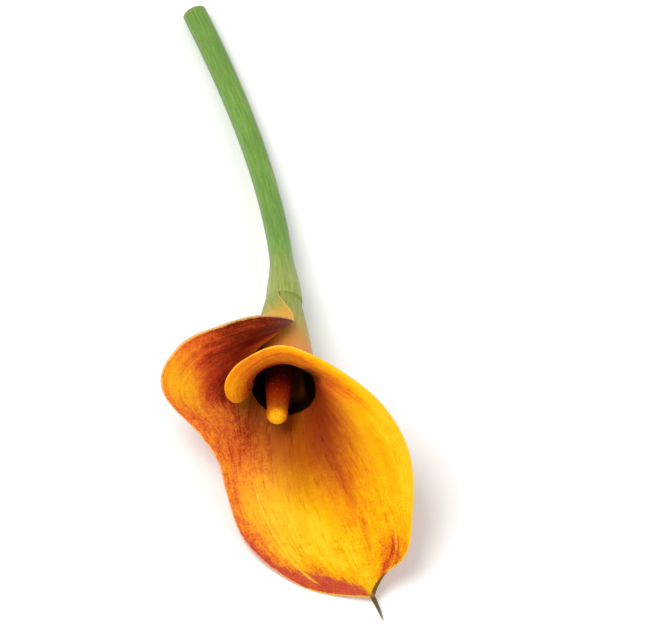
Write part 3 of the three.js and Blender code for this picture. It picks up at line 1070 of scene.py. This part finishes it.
def edged(n, base, wander):
    """The inner face's pale lines, its cream or golden edge, and the olive brown edge by the claw."""
    line = n.span(n.plus(n.attribute("line"), wander), 1.0, 0.2, 0.0, 0.75)
    base = n.blend(line, base, "ffc934")
    # The golden edge along the collar's top is partly a painted highlight.
    rim = n.span(n.plus(n.attribute("edge"), wander), 0.8, 0.3, 0.0, 0.85)
    cream = n.blend(0.55, base, "ffe6bc")
    base = n.blend(rim, base, n.blend(n.attribute("cream"), "ffc840", cream))
    olive = n.span(n.plus(n.attribute("olive"), wander, 0.5), 0.25, 0.75, 0.0, 0.92)
    return n.blend(olive, base, "54421c")


def petal_material(grain):
    """The leaf's inner face: gold under a red flush, with the band, the pale lines, painted shade, and the
    dark mouth with its streak of painted light.
    """
    material, n = new_material("spathe_inside")
    wander, lines, height = add_leaf_grain(n, grain)
    wander = n.maths("MULTIPLY", wander, n.attribute("mottle"))
    base = darkened(n, flushed_gold(n, wander, lines), wander, lines)
    base = edged(n, base, wander)
    roughness = n.span(height, 0.3, 0.7, 0.42, 0.52)
    shader = n.principled(base, roughness, 0.25, WARM_GLOSS, Normal=n.bump(height, LEAF_BUMP))
    finish_material(n, n.see_through(shader, base, 0.14))
    return material


def petal_back_material(grain):
    """The leaf's outer face: paler, with a pink red flush to the margin and green at the foot."""
    material, n = new_material("spathe_outside")
    wander, _, height = add_leaf_grain(n, grain)
    up = n.attribute("up")
    flush = n.plus(n.maths("MULTIPLY", n.attribute("flush"), 0.6), 0.08)
    flush = n.maths("MULTIPLY", flush, n.span(up, 0.1, 0.42, 0.3, 1.0))
    base = n.ramp(n.plus(flush, wander, 0.6, clamp=True), BACK_STOPS)
    green = n.span(n.plus(up, wander, 0.14), 0.05, 0.29, 1.0, 0.0)
    base = n.blend(green, base, n.blend(n.span(height, 0.35, 0.65), "8a9a3e", "a8b054"))
    rim = n.span(n.plus(n.attribute("edge"), wander), 0.55, 0.2, 0.0, 0.6)
    base = n.blend(rim, base, "ffdf8a")
    shader = n.principled(base, 0.46, 0.4, Normal=n.bump(height, LEAF_BUMP))
    finish_material(n, n.see_through(shader, base, 0.16))
    return material


# ---------------------------------------------------------------- the other materials
CLAW_STOPS = [
    (0.14, "f2a41a"),
    (0.27, "8a5c1e"),
    (0.37, "4c4420"),
    (0.7, "575032"),
    (0.9, "8c7a52"),
    (1.0, "d2bd96"),
]
# The spadix's colours from its foot to its end; the dark red browns down in the throat are partly painted
# shade.
SPADIX_STOPS = [
    (0.0, "340302"),
    (0.7, "480402"),
    (0.78, "701003"),
    (0.84, "8c2604"),
    (0.9, "983c06"),
    (0.94, "b8600a"),
    (0.975, "e8980e"),
    (1.0, "fcb81a"),
]
STEM_STOPS = [(0.0, "56802a"), (0.5, "6b9438"), (1.0, "86a84c")]


def claw_material():
    """The claw: dark olive brown, with a pale line up the groove and a pale dry end."""
    material, n = new_material("claw")
    grain = n.noise(n.object_place(), 1300, 3.0, 0.6)
    wander = n.centred(grain, 0.5)
    base = n.ramp(n.plus(n.attribute("along"), wander, 0.3), CLAW_STOPS)
    groove = n.span(n.plus(n.attribute("top"), wander), 0.72, 0.98, 0.0, 0.6)
    base = n.blend(groove, base, "d8b45c")
    finish_material(n, n.principled(base, 0.5, 0.3, Normal=n.bump(grain, 0.1)))
    return material


def spadix_material():
    """The spadix: golden grains at its end, orange and then dark red brown down in the throat, partly its
    own colour and partly painted shade.
    """
    material, n = new_material("spadix_grains")
    object_place = n.object_place()
    grain = n.noise(object_place, 1500, 3.0, 0.6)
    broad = n.noise(object_place, 260, 2.0, 0.5)
    wander = n.plus(n.centred(grain, 0.07), n.centred(broad, 0.08))
    base = n.ramp(n.plus(n.attribute("along"), wander), SPADIX_STOPS)
    dust = n.span(grain, 0.6, 0.72, 0.0, 0.16)
    base = n.blend(dust, base, n.blend(0.5, base, "ffd060"))
    finish_material(n, n.principled(base, 0.7, 0.15, WARM_GLOSS, Normal=n.bump(grain, 0.15)))
    return material


def stem_material():
    """The stem: smooth mid green with faint long streaks, yellower under the bloom."""
    material, n = new_material("stem_skin")
    object_place = n.object_place()
    along = n.attribute("along")
    length = n.maths("MULTIPLY", along, 2.0)
    ring = {"X": n.attribute("top"), "Y": n.attribute("side"), "Z": length}
    streak = n.noise(n.add("ShaderNodeCombineXYZ", **ring), 7, 4.0, 0.6)
    blotch = n.noise(object_place, 60, 2.0, 0.5)
    specks = n.noise(object_place, 1300, 2.0, 0.6)
    skin = n.plus(streak, n.centred(specks, 0.3))
    streaks = n.span(skin, 0.2, 0.8)
    base = n.ramp(streaks, STEM_STOPS)
    base = n.blend(n.span(blotch, 0.35, 0.7, 0.0, 0.4), base, "5c842e")
    under_bloom = n.span(n.plus(along, n.centred(streak, 0.05)), 0.2, 0.03)
    base = n.blend(under_bloom, base, n.blend(streaks, "7c8e36", "a2ad54"))
    at_cut = n.span(along, 0.935, 0.95, 0.0, 0.45)
    base = n.blend(at_cut, base, "8a8a4a")
    finish_material(n, n.principled(base, 0.42, Normal=n.bump(skin, 0.1, 0.3)))
    return material


def stem_cut_material():
    """The cut: pale, wet and spongy, with small holes and the darker dots of its bundles."""
    material, n = new_material("stem_cut")
    object_place = n.object_place()
    pores = n.cells(object_place, 2600)
    bundles = n.cells(object_place, 800)
    rim = n.span(n.attribute("along"), 0.952, 0.962, 1.0, 0.0)
    base = n.blend(n.span(pores, 0.1, 0.6), "b4b877", "dfe2b4")
    base = n.blend(n.span(bundles, 0.3, 0.16, 0.0, 0.6), base, "8f9a50")
    base = n.blend(rim, base, "7f9440")
    height = n.maths("SUBTRACT", pores, n.maths("MULTIPLY", bundles, 0.5))
    finish_material(n, n.principled(base, 0.35, Normal=n.bump(height, 0.2, 0.5)))
    return material


# ---------------------------------------------------------------- table, light and camera, in metres
TABLE_REACH = 4  # from the table's middle to its sides
WORLD_LIGHT = 0.6
SOFTBOXES = [  # name, place, diameter and power
    ("key", (-0.35, -0.15, 0.9), 0.5, 6),
    ("fill", (0.6, -0.6, 0.7), 0.8, 2),
]
VIEW_ANGLE = 45  # degrees between the bloom's axis and the line of sight
CAMERA_DISTANCE = 1.3
CAMERA_WIDTH = 0.2295  # across the frame at the bloom
CAMERA_SHIFT = (0.0151, 0.0255)  # to the right and up from the throat to the frame's middle
SENSOR_WIDTH = 36  # of the camera, in millimetres


def make_table():
    """A wide white table top, which isn't part of the flower."""
    bm = bmesh.new()
    bmesh.ops.create_grid(bm, x_segments=1, y_segments=1, size=TABLE_REACH)
    table = bpy.data.objects.new("table", finished_mesh(bm, "table"))
    bpy.context.scene.collection.objects.link(table)
    material, n = new_material("table_white")
    grain = n.noise(n.object_place(), 40, 2.0, 0.5)
    finish_material(n, n.principled(n.blend(grain, "fbfbfa", "f8f8f7"), 0.9, 0.1))
    table.data.materials.append(material)


def add_softbox(name, place, diameter, power):
    """A round softbox that points at the middle of the table."""
    lamp = bpy.data.lights.new(name, "AREA")
    lamp.shape = "DISK"
    lamp.size = diameter
    lamp.energy = power
    softbox = bpy.data.objects.new(name, lamp)
    bpy.context.scene.collection.objects.link(softbox)
    softbox.location = place
    softbox.rotation_euler = (-Vector(place)).to_track_quat("-Z", "Y").to_euler()


def light_scene():
    """Plain white light from all round, and two softboxes."""
    world = bpy.data.worlds.new("studio")
    world.use_nodes = True
    background = world.node_tree.nodes["Background"]
    background.inputs["Color"].default_value = (1, 1, 1, 1)
    background.inputs["Strength"].default_value = WORLD_LIGHT
    bpy.context.scene.world = world
    for softbox in SOFTBOXES:
        add_softbox(*softbox)


def place_camera():
    """The camera looks down at the photograph's angle to the bloom, turned with the bloom's roll."""
    angle = math.radians(VIEW_ANGLE)
    back = LAID @ Vector((0, math.sin(angle), math.cos(angle)))
    up = LAID @ Vector((0, math.cos(angle), -math.sin(angle)))
    right = LAID @ Vector((1, 0, 0))
    aim = THROAT_AT * MM + right * CAMERA_SHIFT[0] + up * CAMERA_SHIFT[1]
    lens = bpy.data.cameras.new("camera")
    lens.sensor_width = SENSOR_WIDTH
    lens.lens = SENSOR_WIDTH * CAMERA_DISTANCE / CAMERA_WIDTH
    camera = bpy.data.objects.new("camera", lens)
    bpy.context.scene.collection.objects.link(camera)
    facing = Matrix((right, up, back)).transposed().to_4x4()
    camera.matrix_world = Matrix.Translation(aim + back * CAMERA_DISTANCE) @ facing
    bpy.context.scene.camera = camera


# ---------------------------------------------------------------- the scene
both_faces = leaf_grain()
make_spathe(petal_material(both_faces), petal_back_material(both_faces))
make_claw(claw_material())
make_spadix(spadix_material())
make_stem(stem_material(), stem_cut_material())
make_table()
light_scene()
place_camera()
bpy.context.scene.view_settings.view_transform = "Standard"
